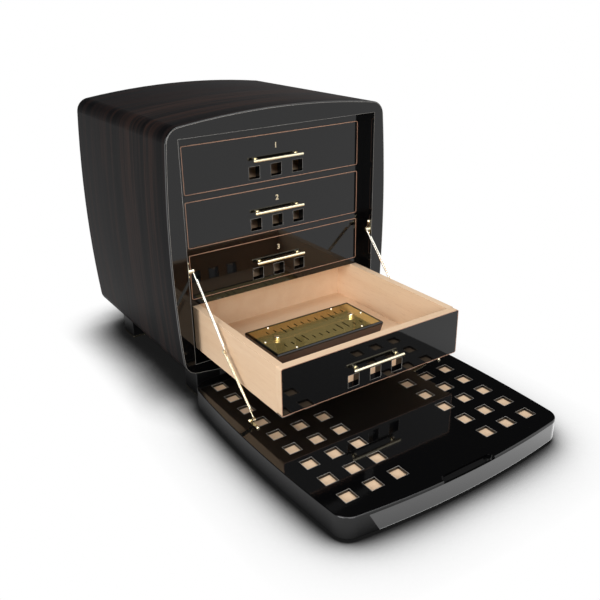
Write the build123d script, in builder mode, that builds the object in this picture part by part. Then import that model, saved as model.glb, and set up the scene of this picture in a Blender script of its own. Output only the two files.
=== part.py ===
# Desk cigar cabinet with a bowed case, a drop-down front, two folding stays and four drawers.
# Millimetres. X is right, +Y is back, +Z is up. The origin is on the floor, midway between the
# far edge of the lowered door and the back of the case. The door is down and drawer 4 is out.

from build123d import *
import math
import os

os.makedirs("parts", exist_ok=True)

# Bowed case, with its widest and tallest size at the middle of each side
case_width = 374.0
case_height = 380.0
case_depth = 340.0
side_bow = 8.3
top_bow = 12.9
case_corner_radius = 22.0
shell_wall = 9.0
rim_thickness = 4.0
edge_round = 1.2
rear_panel_thickness = 8.0
ground_clearance = 29.3

# Recess that the closed door covers, and the frame round the drawers
rim_side_width = 24.0
rim_end_height = 26.5
recess_depth = 22.0
face_frame_thickness = 10.0
face_frame_side = 12.9
face_frame_end = 13.8

# Drawers
drawer_count = 4
shelf_thickness = 8.6
space_behind_drawers = 31.0
drawer_side_gap = 0.6
drawer_bottom_gap = 0.3
drawer_top_gap = 0.6
drawer_setback = 1.0
drawer_4_out = 233.7
drawer_wall = 10.5
drawer_floor_thickness = 5.5
front_board_thickness = 12.0
front_corner_radius = 3.0
front_lip = 1.0
front_panel_thickness = 3.0
vent_rise = 15.5
vent_wall = 1.1
vents_per_front = 3
carcass_board = 8.0

# Bar handles
handle_length = 85.0
handle_diameter = 4.5
handle_standoff = 8.0
handle_end_round = 1.0
handle_post_diameter = 4.0
handle_post_inset = 8.0
handle_collar_diameter = 6.4
handle_collar_thickness = 1.2

# Door
door_thickness = 31.0
door_plate_thickness = 4.0
door_outer_round = 2.5
door_gap = 0.3
hinge_forward = 6.5
window_size = 18.5
window_end_margin = 41.2
window_side_margin = 38.2
window_rows = 9
window_columns = (-4, -3, -2, 2, 3, 4)
window_grid_shift = 3.0
liner_thickness = 3.0
liner_margin = 6.0
scoop_length = 84.0
scoop_width = 14.0
scoop_reach = 9.5
scoop_depth = 7.0
scoop_lip = 2.8

# Hinges under the front edge
hinge_inset = 87.0
hinge_width = 28.0
knuckle_radius = 3.0
hinge_pin_radius = 1.5
pin_clearance = 0.05
knuckle_gap = 0.1
leaf_offset = 4.9
leaf_thickness = 2.0
leaf_reach = 22.0
leaf_gap = 0.3
mortise_clearance = 0.2

# Folding stays
stay_pivot_depth = 4.0
stay_pivot_height = 170.0
stay_door_reach = 147.0
stay_door_rise = 4.8
stay_slack = 0.2
stay_drawer_gap = 4.5
arm_thickness = 1.6
arm_gap = 0.4
arm_rail_width = 2.4
arm_second_rail_width = 1.8
arm_rail_spacing = 3.4
arm_edge_round = 0.5
arm_web_thickness = 0.6
arm_eye_radius = 3.2
second_rail_start = 14.0
second_rail_stop = 7.0
stay_pin_radius = 1.4
stay_head_radius = 2.6
stay_head_thickness = 0.7
mid_rivet_radius = 2.2
mid_rivet_thickness = 0.7
bracket_plate_thickness = 1.6
bracket_edge = 3.0
boss_radius = 3.0
bracket_screw_spacing = 19.6
bracket_screw_depth = 6.0
bracket_screw_rise = 2.0
screw_shank_radius = 1.2
screw_head_radius = 2.6
screw_grip = 4.0
door_bracket_width = 4.2
door_bracket_thickness = 1.2
door_bracket_inset = 0.4
door_lug_thickness = 1.6
door_lug_length = 6.0
door_screw_spacing = 20.5
door_screw_offset = 4.25
door_screw_head_radius = 2.0
door_screw_grip = 3.8

# Feet
foot_size = 40.0
foot_inset_x = 24.0
front_foot_inset = 2.0
rear_foot_inset = 53.0
foot_corner_radius = 2.0
sole_thickness = 3.0
foot_screw_radius = 2.0
foot_screw_head_radius = 4.0
foot_screw_head_height = 2.0
foot_screw_length = 14.0
foot_screw_recess = 0.5

# Humidifier standing on the floor of drawer 4
humidifier_length = 190.0
humidifier_width = 90.0
humidifier_x = 5.0
humidifier_back = 146.7
humidifier_gap = 0.3
base_height = 15.0
base_draw = 3.0
base_corner_radius = 2.0
base_wall = 5.0
base_floor = 2.5
rim_height = 3.5
rim_width = 3.5
rim_bevel = 1.5
grille_thickness = 1.5
grille_setback = 0.6
slots_per_row = 12
slot_pitch = 12.35
slot_width = 1.9
slot_length = 9.0
long_slot_length = 18.6
slot_outer_end = 28.5
long_slots = (2, 3, 8, 9)
knob_spacing = 134.0
knob_radius = 4.4
knob_height = 5.2
knob_waist_radius = 2.6
knob_foot_height = 1.2
knob_cap_height = 2.8
knob_crown = 1.2
grille_screw_radius = 1.9
grille_screw_spots = ((-58.5, 38.4), (58.5, 38.4), (-58.5, -38.4), (58.5, -38.4), (-87.0, 0), (87.0, 0))
pad_gap = 1.0
pad_margin = 4.0

# Places worked out from the sizes above
hinge_z = ground_clearance - door_gap
door_reach = hinge_forward + door_gap + case_height
front_y = (door_reach - case_depth) / 2
rear_y = front_y + case_depth
case_centre_z = ground_clearance + case_height / 2
recess_width = case_width - 2 * rim_side_width
recess_height = case_height - 2 * rim_end_height
face_y = front_y + recess_depth
hinge_y = front_y - hinge_forward
door_centre_y = hinge_y - door_gap - case_height / 2
door_face_z = hinge_z + hinge_forward - door_gap
door_outer_z = door_face_z - door_thickness
plate_back_z = door_face_z - door_plate_thickness
opening_width = recess_width - 2 * face_frame_side
shelves_height = (drawer_count - 1) * shelf_thickness
opening_height = (recess_height - 2 * face_frame_end - shelves_height) / drawer_count
drawer_pitch = opening_height + shelf_thickness
drawer_width = opening_width - 2 * drawer_side_gap
drawer_height = opening_height - drawer_bottom_gap - drawer_top_gap
closed_front_y = face_y + drawer_setback
drawer_length = rear_y - rear_panel_thickness - space_behind_drawers - closed_front_y
row_pitch = (case_height - 2 * window_end_margin) / (window_rows - 1)
column_span = max(window_columns) - min(window_columns)
column_pitch = (case_width - 2 * window_side_margin) / column_span
hinge_spacing = case_width - 2 * hinge_inset
foot_spacing_x = case_width - 2 * foot_inset_x - foot_size
carcass_front_y = face_y + face_frame_thickness
carcass_depth = case_depth - recess_depth - face_frame_thickness - rear_panel_thickness
carcass_half_width = opening_width / 2 + carcass_board


def opening_centre(index):
    """Height of the middle of an opening, 1 at the top."""
    return case_centre_z + ((drawer_count + 1) / 2 - index) * drawer_pitch


def drawer_bottom(index):
    return opening_centre(index) - opening_height / 2 + drawer_bottom_gap


def facing_front(y, z=0.0):
    """A plane across the case, with its x along X and its y along Z, that looks out of the front."""
    return Plane(origin=(0, y, z), x_dir=(1, 0, 0), z_dir=(0, -1, 0))


def bowed_outline(inset=0.0):
    """The barrel outline shared by the case and the door, drawn in by inset."""
    half_width = case_width / 2 - inset
    half_height = case_height / 2 - inset
    corner_x = half_width - side_bow
    corner_y = half_height - top_bow
    with BuildSketch(mode=Mode.PRIVATE) as outline:
        with BuildLine():
            ThreePointArc((-corner_x, corner_y), (0, half_height), (corner_x, corner_y))
            ThreePointArc((corner_x, corner_y), (half_width, 0), (corner_x, -corner_y))
            ThreePointArc((corner_x, -corner_y), (0, -half_height), (-corner_x, -corner_y))
            ThreePointArc((-corner_x, -corner_y), (-half_width, 0), (-corner_x, corner_y))
        make_face()
        fillet(outline.vertices(), radius=case_corner_radius - inset)
    return outline.sketch


def save(part, name):
    part.label = name
    export_step(part, f"parts/{name}.step")


case_outline = bowed_outline()
bore_outline = bowed_outline(shell_wall)
hinge_places = (-hinge_spacing / 2, hinge_spacing / 2)
leaf_top_z = hinge_z + leaf_offset + leaf_thickness
leaf_end_y = hinge_y + leaf_gap + leaf_reach

# Stay pivots, seen from the side: y first, then z
cabinet_pivot = (front_y + stay_pivot_depth, hinge_z + stay_pivot_height)
door_pivot = (hinge_y - stay_door_reach, door_face_z + stay_door_rise)
door_pivot_closed = (hinge_y + door_pivot[1] - hinge_z, hinge_z + stay_door_reach)
open_span = math.dist(cabinet_pivot, door_pivot)
closed_span = math.dist(cabinet_pivot, door_pivot_closed)
upper_arm_length = (open_span + stay_slack + closed_span) / 2
lower_arm_length = (open_span + stay_slack - closed_span) / 2
# The middle pivot lies below the line between the other two, where two circles about them cross
foot_distance = (open_span**2 + upper_arm_length**2 - lower_arm_length**2) / (2 * open_span)
sag_distance = math.sqrt(upper_arm_length**2 - foot_distance**2)
span_y = (door_pivot[0] - cabinet_pivot[0]) / open_span
span_z = (door_pivot[1] - cabinet_pivot[1]) / open_span
middle_pivot = (
    cabinet_pivot[0] + foot_distance * span_y - sag_distance * span_z,
    cabinet_pivot[1] + foot_distance * span_z + sag_distance * span_y,
)

# Sideways places of the stay, measured from the middle of the case
upper_arm_x = drawer_width / 2 + stay_drawer_gap
lower_arm_x = upper_arm_x + arm_thickness + arm_gap
recess_wall_x = recess_width / 2
cabinet_bracket_x = recess_wall_x - bracket_plate_thickness
door_bracket_outer_x = recess_wall_x - door_bracket_inset
door_bracket_inner_x = door_bracket_outer_x - door_bracket_width
cabinet_screw_y = front_y + bracket_screw_depth
cabinet_screw_z = tuple(
    cabinet_pivot[1] + bracket_screw_rise + side * bracket_screw_spacing / 2 for side in (-1, 1)
)
door_screw_x = (door_bracket_inner_x + door_bracket_outer_x) / 2
door_screw_y = tuple(
    door_pivot[0] - door_screw_offset + side * door_screw_spacing / 2 for side in (-1, 1)
)


def side_plane(side, x):
    """A plane square to X at side * x, with its x along Y and its y along Z, facing outwards."""
    return Plane(origin=(side * x, 0, 0), x_dir=(0, side, 0), z_dir=(side, 0, 0))


def on_side(side, point):
    """A y, z point in the local axes of side_plane."""
    return (side * point[0], point[1])


# Black lacquered front rim, with the neck that lines the recess
with BuildPart() as front_frame:
    with BuildSketch(facing_front(front_y, case_centre_z)):
        add(case_outline)
    extrude(amount=-rim_thickness)
    fillet(front_frame.faces().sort_by(Axis.Y)[0].edges(), radius=edge_round)
    with BuildSketch(facing_front(front_y + rim_thickness, case_centre_z)):
        add(bore_outline)
    extrude(amount=-(recess_depth - rim_thickness))
    with BuildSketch(facing_front(front_y, case_centre_z)):
        Rectangle(recess_width, recess_height)
    extrude(amount=-recess_depth, mode=Mode.SUBTRACT)
    with BuildSketch(Plane.XY.offset(leaf_top_z)):
        with Locations(*[(x, (front_y + leaf_end_y) / 2) for x in hinge_places]):
            Rectangle(hinge_width + 2 * mortise_clearance, leaf_end_y - front_y + 2 * mortise_clearance)
    extrude(amount=-(leaf_top_z - hinge_z), mode=Mode.SUBTRACT)
    for side in (-1, 1):
        with BuildSketch(side_plane(side, recess_wall_x)):
            with Locations(*[on_side(side, (cabinet_screw_y, z)) for z in cabinet_screw_z]):
                Circle(screw_shank_radius)
        extrude(amount=screw_grip, mode=Mode.SUBTRACT)
save(front_frame.part, "front_frame")

# Veneered shell, one wall round the whole girth
with BuildPart() as outer_shell:
    with BuildSketch(facing_front(front_y + rim_thickness, case_centre_z)):
        add(case_outline)
    extrude(amount=-(case_depth - rim_thickness))
    fillet(outer_shell.faces().sort_by(Axis.Y)[-1].edges(), radius=edge_round)
    with BuildSketch(facing_front(front_y + rim_thickness, case_centre_z)):
        add(bore_outline)
    extrude(amount=-(case_depth - rim_thickness), mode=Mode.SUBTRACT)
    with BuildSketch(Plane.XY.offset(leaf_top_z)):
        with Locations(*[(x, (front_y + leaf_end_y) / 2) for x in hinge_places]):
            Rectangle(hinge_width + 2 * mortise_clearance, leaf_end_y - front_y + 2 * mortise_clearance)
    extrude(amount=-(leaf_top_z - hinge_z), mode=Mode.SUBTRACT)
save(outer_shell.part, "outer_shell")

# Black frame with one opening for each drawer
with BuildPart() as face_frame:
    with BuildSketch(facing_front(face_y)) as face_sketch:
        with Locations((0, case_centre_z)):
            add(bore_outline)
        with Locations(*[(0, opening_centre(index)) for index in range(1, drawer_count + 1)]):
            Rectangle(opening_width, opening_height, mode=Mode.SUBTRACT)
    extrude(amount=-face_frame_thickness)
save(face_frame.part, "face_frame")

with BuildPart() as rear_panel:
    with BuildSketch(facing_front(rear_y - rear_panel_thickness, case_centre_z)):
        add(bore_outline)
    extrude(amount=-rear_panel_thickness)
save(rear_panel.part, "rear_panel")

# Inner carcass: two cheeks between a top and a floor board, and the shelves the drawers run on
carcass_top_z = opening_centre(1) + opening_height / 2
carcass_bottom_z = opening_centre(drawer_count) - opening_height / 2


def carcass_piece(name, x_min, x_max, z_min, z_max):
    with BuildPart() as board:
        with BuildSketch(facing_front(carcass_front_y)):
            with Locations(((x_min + x_max) / 2, (z_min + z_max) / 2)):
                Rectangle(x_max - x_min, z_max - z_min)
        extrude(amount=-carcass_depth)
    save(board.part, name)


carcass_piece("left_cheek", -carcass_half_width, -opening_width / 2, carcass_bottom_z, carcass_top_z)
carcass_piece("right_cheek", opening_width / 2, carcass_half_width, carcass_bottom_z, carcass_top_z)
carcass_piece(
    "top_board", -carcass_half_width, carcass_half_width, carcass_top_z, carcass_top_z + carcass_board
)
carcass_piece(
    "floor_board",
    -carcass_half_width,
    carcass_half_width,
    carcass_bottom_z - carcass_board,
    carcass_bottom_z,
)
for index in range(1, drawer_count):
    shelf_top = opening_centre(index) - opening_height / 2
    carcass_piece(
        f"shelf_{index}", -opening_width / 2, opening_width / 2, shelf_top - shelf_thickness, shelf_top
    )

# Feet, cut on top to the bowed bottom of the case, with brass soles and screws
foot_places = [
    (side * foot_spacing_x / 2, y)
    for side in (-1, 1)
    for y in (
        front_y + front_foot_inset + foot_size / 2,
        rear_y - rear_foot_inset - foot_size / 2,
    )
]
with BuildPart() as feet:
    with BuildSketch(Plane.XY.offset(sole_thickness)):
        with Locations(*foot_places):
            RectangleRounded(foot_size, foot_size, foot_corner_radius)
    extrude(amount=ground_clearance + top_bow)
    with BuildSketch(facing_front(front_y, case_centre_z)):
        add(case_outline)
    extrude(amount=-case_depth, mode=Mode.SUBTRACT)
    with BuildSketch(Plane.XY.offset(sole_thickness)):
        with Locations(*foot_places):
            Circle(foot_screw_radius)
    extrude(amount=foot_screw_length, mode=Mode.SUBTRACT)
save(feet.part, "feet")

with BuildPart() as foot_soles:
    with BuildSketch():
        with Locations(*foot_places):
            RectangleRounded(foot_size, foot_size, foot_corner_radius)
            Circle(foot_screw_radius, mode=Mode.SUBTRACT)
    extrude(amount=sole_thickness)
    with BuildSketch():
        with Locations(*foot_places):
            Circle(foot_screw_head_radius)
    extrude(amount=foot_screw_recess + foot_screw_head_height, mode=Mode.SUBTRACT)
save(foot_soles.part, "foot_soles")

with BuildPart() as foot_screws:
    with BuildSketch(Plane.XY.offset(foot_screw_recess)):
        with Locations(*foot_places):
            Circle(foot_screw_head_radius)
    extrude(amount=foot_screw_head_height)
    with BuildSketch(Plane.XY.offset(foot_screw_recess + foot_screw_head_height)):
        with Locations(*foot_places):
            Circle(foot_screw_radius)
    extrude(amount=sole_thickness - foot_screw_recess - foot_screw_head_height + foot_screw_length)
save(foot_screws.part, "foot_screws")

# Hinges: a leaf let into the case, a leaf let into the door, and a pin
knuckle_length = (hinge_width - 2 * knuckle_gap) / 3
outer_knuckles = (-hinge_width / 2, hinge_width / 2 - knuckle_length)


def knuckle_section(x, web_centre, web_size, bore):
    """Section of a barrel piece about the hinge axis, with a web to its leaf."""
    with BuildSketch(Plane.YZ.offset(x), mode=Mode.PRIVATE) as section:
        with Locations((hinge_y, hinge_z)):
            Circle(knuckle_radius)
        with Locations(web_centre):
            Rectangle(*web_size)
        with Locations((hinge_y, hinge_z)):
            Circle(bore, mode=Mode.SUBTRACT)
    return section.sketch


cabinet_web_centre = (
    hinge_y + leaf_gap + leaf_thickness / 2,
    hinge_z + (leaf_offset + leaf_thickness) / 2,
)
cabinet_web_size = (leaf_thickness, leaf_offset + leaf_thickness)
door_web_centre = (
    hinge_y - (leaf_offset + leaf_thickness) / 2,
    hinge_z - leaf_gap - leaf_thickness / 2,
)
door_web_size = (leaf_offset + leaf_thickness, leaf_thickness)

with BuildPart() as cabinet_hinge_leaves:
    for hinge_x in hinge_places:
        with BuildSketch(Plane.YZ.offset(hinge_x - hinge_width / 2)):
            with Locations((leaf_end_y - leaf_reach / 2, leaf_top_z - leaf_thickness / 2)):
                Rectangle(leaf_reach, leaf_thickness)
        extrude(amount=hinge_width)
        for start in outer_knuckles:
            section = knuckle_section(
                hinge_x + start, cabinet_web_centre, cabinet_web_size, hinge_pin_radius
            )
            extrude(section, amount=knuckle_length)
save(cabinet_hinge_leaves.part, "cabinet_hinge_leaves")

with BuildPart() as door_hinge_leaves:
    for hinge_x in hinge_places:
        with BuildSketch(Plane.YZ.offset(hinge_x - hinge_width / 2)):
            with Locations(
                (hinge_y - leaf_offset - leaf_thickness / 2, hinge_z - leaf_gap - leaf_reach / 2)
            ):
                Rectangle(leaf_thickness, leaf_reach)
        extrude(amount=hinge_width)
        section = knuckle_section(
            hinge_x - knuckle_length / 2,
            door_web_centre,
            door_web_size,
            hinge_pin_radius + pin_clearance,
        )
        extrude(section, amount=knuckle_length)
save(door_hinge_leaves.part, "door_hinge_leaves")

with BuildPart() as hinge_pins:
    for hinge_x in hinge_places:
        with BuildSketch(Plane.YZ.offset(hinge_x - hinge_width / 2)):
            with Locations((hinge_y, hinge_z)):
                Circle(hinge_pin_radius)
        extrude(amount=hinge_width)
save(hinge_pins.part, "hinge_pins")

# Door: a thick lacquered core, a cedar liner let into it and a black plate with square windows
door_plane = Plane(origin=(0, door_centre_y, door_outer_z))
plate_plane = Plane(origin=(0, door_centre_y, plate_back_z))
scoop_centre_y = -case_height / 2 + scoop_reach - scoop_width / 2
liner_width = column_span * column_pitch + window_size + 2 * liner_margin
liner_length = (window_rows - 1) * row_pitch + window_size + 2 * liner_margin
leaf_face_y = hinge_y - leaf_offset - leaf_thickness
core_mortise_bottom = hinge_z - leaf_gap - leaf_reach - mortise_clearance
core_mortise_height = plate_back_z - core_mortise_bottom


def scoop_outline():
    """The finger scoop in the plate, with straight sides that run out over the door's edge."""
    with BuildSketch(mode=Mode.PRIVATE) as outline:
        with Locations((0, scoop_centre_y)):
            SlotOverall(scoop_length, scoop_width)
        with Locations((0, scoop_centre_y - scoop_width / 2)):
            Rectangle(scoop_length, scoop_width)
    return outline.sketch


with BuildPart() as door_core:
    with BuildSketch(door_plane):
        add(case_outline)
    extrude(amount=door_thickness - door_plate_thickness)
    fillet(door_core.faces().sort_by(Axis.Z)[0].edges(), radius=door_outer_round)
    with BuildSketch(plate_plane):
        with Locations((0, window_grid_shift)):
            Rectangle(liner_width, liner_length)
    extrude(amount=-liner_thickness, mode=Mode.SUBTRACT)
    with BuildSketch(Plane(origin=(0, door_centre_y, door_face_z))):
        with Locations((0, scoop_centre_y)):
            SlotOverall(scoop_length, scoop_width)
        add(bowed_outline(scoop_lip), mode=Mode.INTERSECT)
    extrude(amount=-scoop_depth, mode=Mode.SUBTRACT)
    with BuildSketch(facing_front(leaf_face_y)):
        with Locations(*[(x, core_mortise_bottom + core_mortise_height / 2) for x in hinge_places]):
            Rectangle(hinge_width + 2 * mortise_clearance, core_mortise_height)
    extrude(amount=-(hinge_y - leaf_face_y), mode=Mode.SUBTRACT)
save(door_core.part, "door_core")

with BuildPart() as door_liner:
    with BuildSketch(plate_plane):
        with Locations((0, window_grid_shift)):
            Rectangle(liner_width, liner_length)
    extrude(amount=-liner_thickness)
save(door_liner.part, "door_liner")

with BuildPart() as door_plate:
    with BuildSketch(plate_plane):
        add(case_outline)
    extrude(amount=door_plate_thickness)
    fillet(door_plate.faces().sort_by(Axis.Z)[-1].edges(), radius=edge_round)
    with BuildSketch(plate_plane):
        with Locations(
            *[
                (column * column_pitch, window_grid_shift + (row - (window_rows - 1) / 2) * row_pitch)
                for column in window_columns
                for row in range(window_rows)
            ]
        ):
            Rectangle(window_size, window_size)
        add(scoop_outline())
    extrude(amount=door_plate_thickness, mode=Mode.SUBTRACT)
    with BuildSketch(facing_front(leaf_face_y)):
        with Locations(*[(x, hinge_z) for x in hinge_places]):
            Rectangle(hinge_width + 2 * mortise_clearance, 2 * hinge_forward)
    extrude(amount=-(hinge_y - leaf_face_y), mode=Mode.SUBTRACT)
    with BuildSketch(Plane.XY.offset(door_face_z)):
        with Locations(*[(side * door_screw_x, y) for side in (-1, 1) for y in door_screw_y]):
            Circle(screw_shank_radius)
    extrude(amount=-door_screw_grip, mode=Mode.SUBTRACT)
save(door_plate.part, "door_plate")


# Stay arms: a pressed strip with a full rail, a shorter second rail and a thin web between them
def stay_arm(side, x, start, end, second_start, second_stop, bores, rivet_side):
    """An arm from start to end; the second rail lies on the side that the stay folds to."""
    length = math.dist(start, end)
    along = ((end[0] - start[0]) / length, (end[1] - start[1]) / length)
    inner_face = Plane(
        origin=(side * x, start[0], start[1]),
        x_dir=(0, along[0], along[1]),
        z_dir=(side, 0, 0),
    )
    fold = -side
    rail_middle = (second_start + length - second_stop) / 2
    rail_length = length - second_start - second_stop
    start_bore, end_bore = bores
    with BuildPart() as arm:
        with BuildSketch(inner_face):
            with Locations((length / 2, 0)):
                Rectangle(length, arm_rail_width)
            with Locations((0, 0), (length, 0)):
                Circle(arm_eye_radius)
            with Locations((rail_middle, fold * arm_rail_spacing)):
                SlotOverall(rail_length, arm_second_rail_width)
        extrude(amount=arm_thickness)
        rail_edges = arm.edges().filter_by(Axis(inner_face.origin, inner_face.x_dir))
        fillet(rail_edges, radius=arm_edge_round)
        with BuildSketch(inner_face.offset((arm_thickness - arm_web_thickness) / 2)):
            with Locations((rail_middle, fold * arm_rail_spacing / 2)):
                Rectangle(rail_length - arm_second_rail_width, arm_rail_spacing)
        extrude(amount=arm_web_thickness)
        with BuildSketch(inner_face):
            if start_bore:
                Circle(start_bore)
            if end_bore:
                with Locations((length, 0)):
                    Circle(end_bore)
        extrude(amount=arm_thickness, mode=Mode.SUBTRACT)
        rivet_spot = (length, 0) if start_bore else (0, 0)
        rivet_start = arm_thickness if rivet_side > 0 else 0
        with BuildSketch(inner_face.offset(rivet_start)):
            with Locations(rivet_spot):
                Circle(mid_rivet_radius)
        extrude(amount=rivet_side * mid_rivet_thickness)
    return arm.part


arm_bore = stay_pin_radius + pin_clearance
for side, hand in ((-1, "left"), (1, "right")):
    upper = stay_arm(
        side,
        upper_arm_x,
        cabinet_pivot,
        middle_pivot,
        second_rail_start,
        second_rail_stop,
        (arm_bore, None),
        -1,
    )
    save(upper, f"{hand}_stay_upper_arm")
    lower = stay_arm(
        side,
        lower_arm_x,
        middle_pivot,
        door_pivot,
        second_rail_stop,
        second_rail_start,
        (None, arm_bore),
        1,
    )
    save(lower, f"{hand}_stay_lower_arm")

    # Bracket on the side of the recess, with a boss that reaches in to the upper arm
    boss_face_x = upper_arm_x + arm_thickness + arm_gap
    with BuildPart() as cabinet_bracket:
        with BuildSketch(side_plane(side, cabinet_bracket_x)):
            with Locations(
                on_side(side, cabinet_pivot), *[on_side(side, (cabinet_screw_y, z)) for z in cabinet_screw_z]
            ):
                Circle(bracket_edge)
            make_hull()
            with Locations(*[on_side(side, (cabinet_screw_y, z)) for z in cabinet_screw_z]):
                Circle(screw_shank_radius, mode=Mode.SUBTRACT)
        extrude(amount=bracket_plate_thickness)
        with BuildSketch(side_plane(side, boss_face_x)):
            with Locations(on_side(side, cabinet_pivot)):
                Circle(boss_radius)
                Circle(stay_pin_radius, mode=Mode.SUBTRACT)
        extrude(amount=cabinet_bracket_x - boss_face_x)
    save(cabinet_bracket.part, f"{hand}_stay_bracket")

    # Bracket on the door, with an upright lug and a boss that reaches in to the lower arm
    door_boss_face_x = lower_arm_x + arm_thickness + arm_gap
    lug_y = door_pivot[0]
    with BuildPart() as door_bracket:
        with BuildSketch(Plane.XY.offset(door_face_z)):
            with Locations((side * door_screw_x, door_pivot[0] - door_screw_offset)):
                Rectangle(door_bracket_width, door_screw_spacing + 2 * door_screw_head_radius)
            with Locations(*[(side * door_screw_x, y) for y in door_screw_y]):
                Circle(screw_shank_radius, mode=Mode.SUBTRACT)
        extrude(amount=door_bracket_thickness)
        with BuildSketch(side_plane(side, door_bracket_inner_x)):
            with Locations(on_side(side, (lug_y, door_face_z + stay_door_rise / 2))):
                Rectangle(door_lug_length, stay_door_rise)
            with Locations(on_side(side, door_pivot)):
                Circle(door_lug_length / 2)
        extrude(amount=door_lug_thickness)
        with BuildSketch(side_plane(side, door_boss_face_x)):
            with Locations(on_side(side, door_pivot)):
                Circle(boss_radius)
        extrude(amount=door_bracket_inner_x - door_boss_face_x)
        with BuildSketch(side_plane(side, door_boss_face_x)):
            with Locations(on_side(side, door_pivot)):
                Circle(stay_pin_radius)
        extrude(amount=door_bracket_inner_x - door_boss_face_x, mode=Mode.SUBTRACT)
    save(door_bracket.part, f"{hand}_door_bracket")

# Pivot pins of the stays: headed inside the upper arms, flush with the lower arms
with BuildPart() as stay_cabinet_pins:
    for side in (-1, 1):
        with BuildSketch(side_plane(side, upper_arm_x - arm_gap / 2)):
            with Locations(on_side(side, cabinet_pivot)):
                Circle(stay_pin_radius)
        extrude(amount=cabinet_bracket_x - upper_arm_x + arm_gap / 2)
        with BuildSketch(side_plane(side, upper_arm_x - arm_gap / 2)):
            with Locations(on_side(side, cabinet_pivot)):
                Circle(stay_head_radius)
        extrude(amount=-stay_head_thickness)
save(stay_cabinet_pins.part, "stay_cabinet_pins")

with BuildPart() as stay_door_pins:
    for side in (-1, 1):
        with BuildSketch(side_plane(side, lower_arm_x)):
            with Locations(on_side(side, door_pivot)):
                Circle(stay_pin_radius)
        extrude(amount=door_bracket_inner_x - lower_arm_x)
save(stay_door_pins.part, "stay_door_pins")

# Ball-headed screws of the brackets
with BuildPart() as cabinet_bracket_screws:
    for side in (-1, 1):
        for z in cabinet_screw_z:
            spot = on_side(side, (cabinet_screw_y, z))
            with BuildSketch(side_plane(side, cabinet_bracket_x)):
                with Locations(spot):
                    Circle(screw_shank_radius)
            extrude(amount=bracket_plate_thickness + screw_grip)
            with Locations((side * cabinet_bracket_x, cabinet_screw_y, z)):
                Sphere(screw_head_radius)
            with BuildSketch(side_plane(side, cabinet_bracket_x)):
                with Locations(spot):
                    Circle(screw_head_radius)
                    Circle(screw_shank_radius, mode=Mode.SUBTRACT)
            extrude(amount=screw_head_radius, mode=Mode.SUBTRACT)
save(cabinet_bracket_screws.part, "cabinet_bracket_screws")

with BuildPart() as door_bracket_screws:
    head_z = door_face_z + door_bracket_thickness
    spots = [(side * door_screw_x, y) for side in (-1, 1) for y in door_screw_y]
    with BuildSketch(Plane.XY.offset(head_z)):
        with Locations(*spots):
            Circle(screw_shank_radius)
    extrude(amount=-(door_bracket_thickness + door_screw_grip))
    with Locations(*[(x, y, head_z) for x, y in spots]):
        Sphere(door_screw_head_radius)
    with BuildSketch(Plane.XY.offset(head_z)):
        with Locations(*spots):
            Circle(door_screw_head_radius)
            Circle(screw_shank_radius, mode=Mode.SUBTRACT)
    extrude(amount=-door_screw_head_radius, mode=Mode.SUBTRACT)
save(door_bracket_screws.part, "door_bracket_screws")

# Drawers: cedar walls and floor, a cedar front board and a lacquered panel let into its face,
# whose three square vents are lined right through the board
inner_length = drawer_length - front_board_thickness
vent_columns = [
    (column - (vents_per_front - 1) / 2) * column_pitch for column in range(vents_per_front)
]


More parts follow.
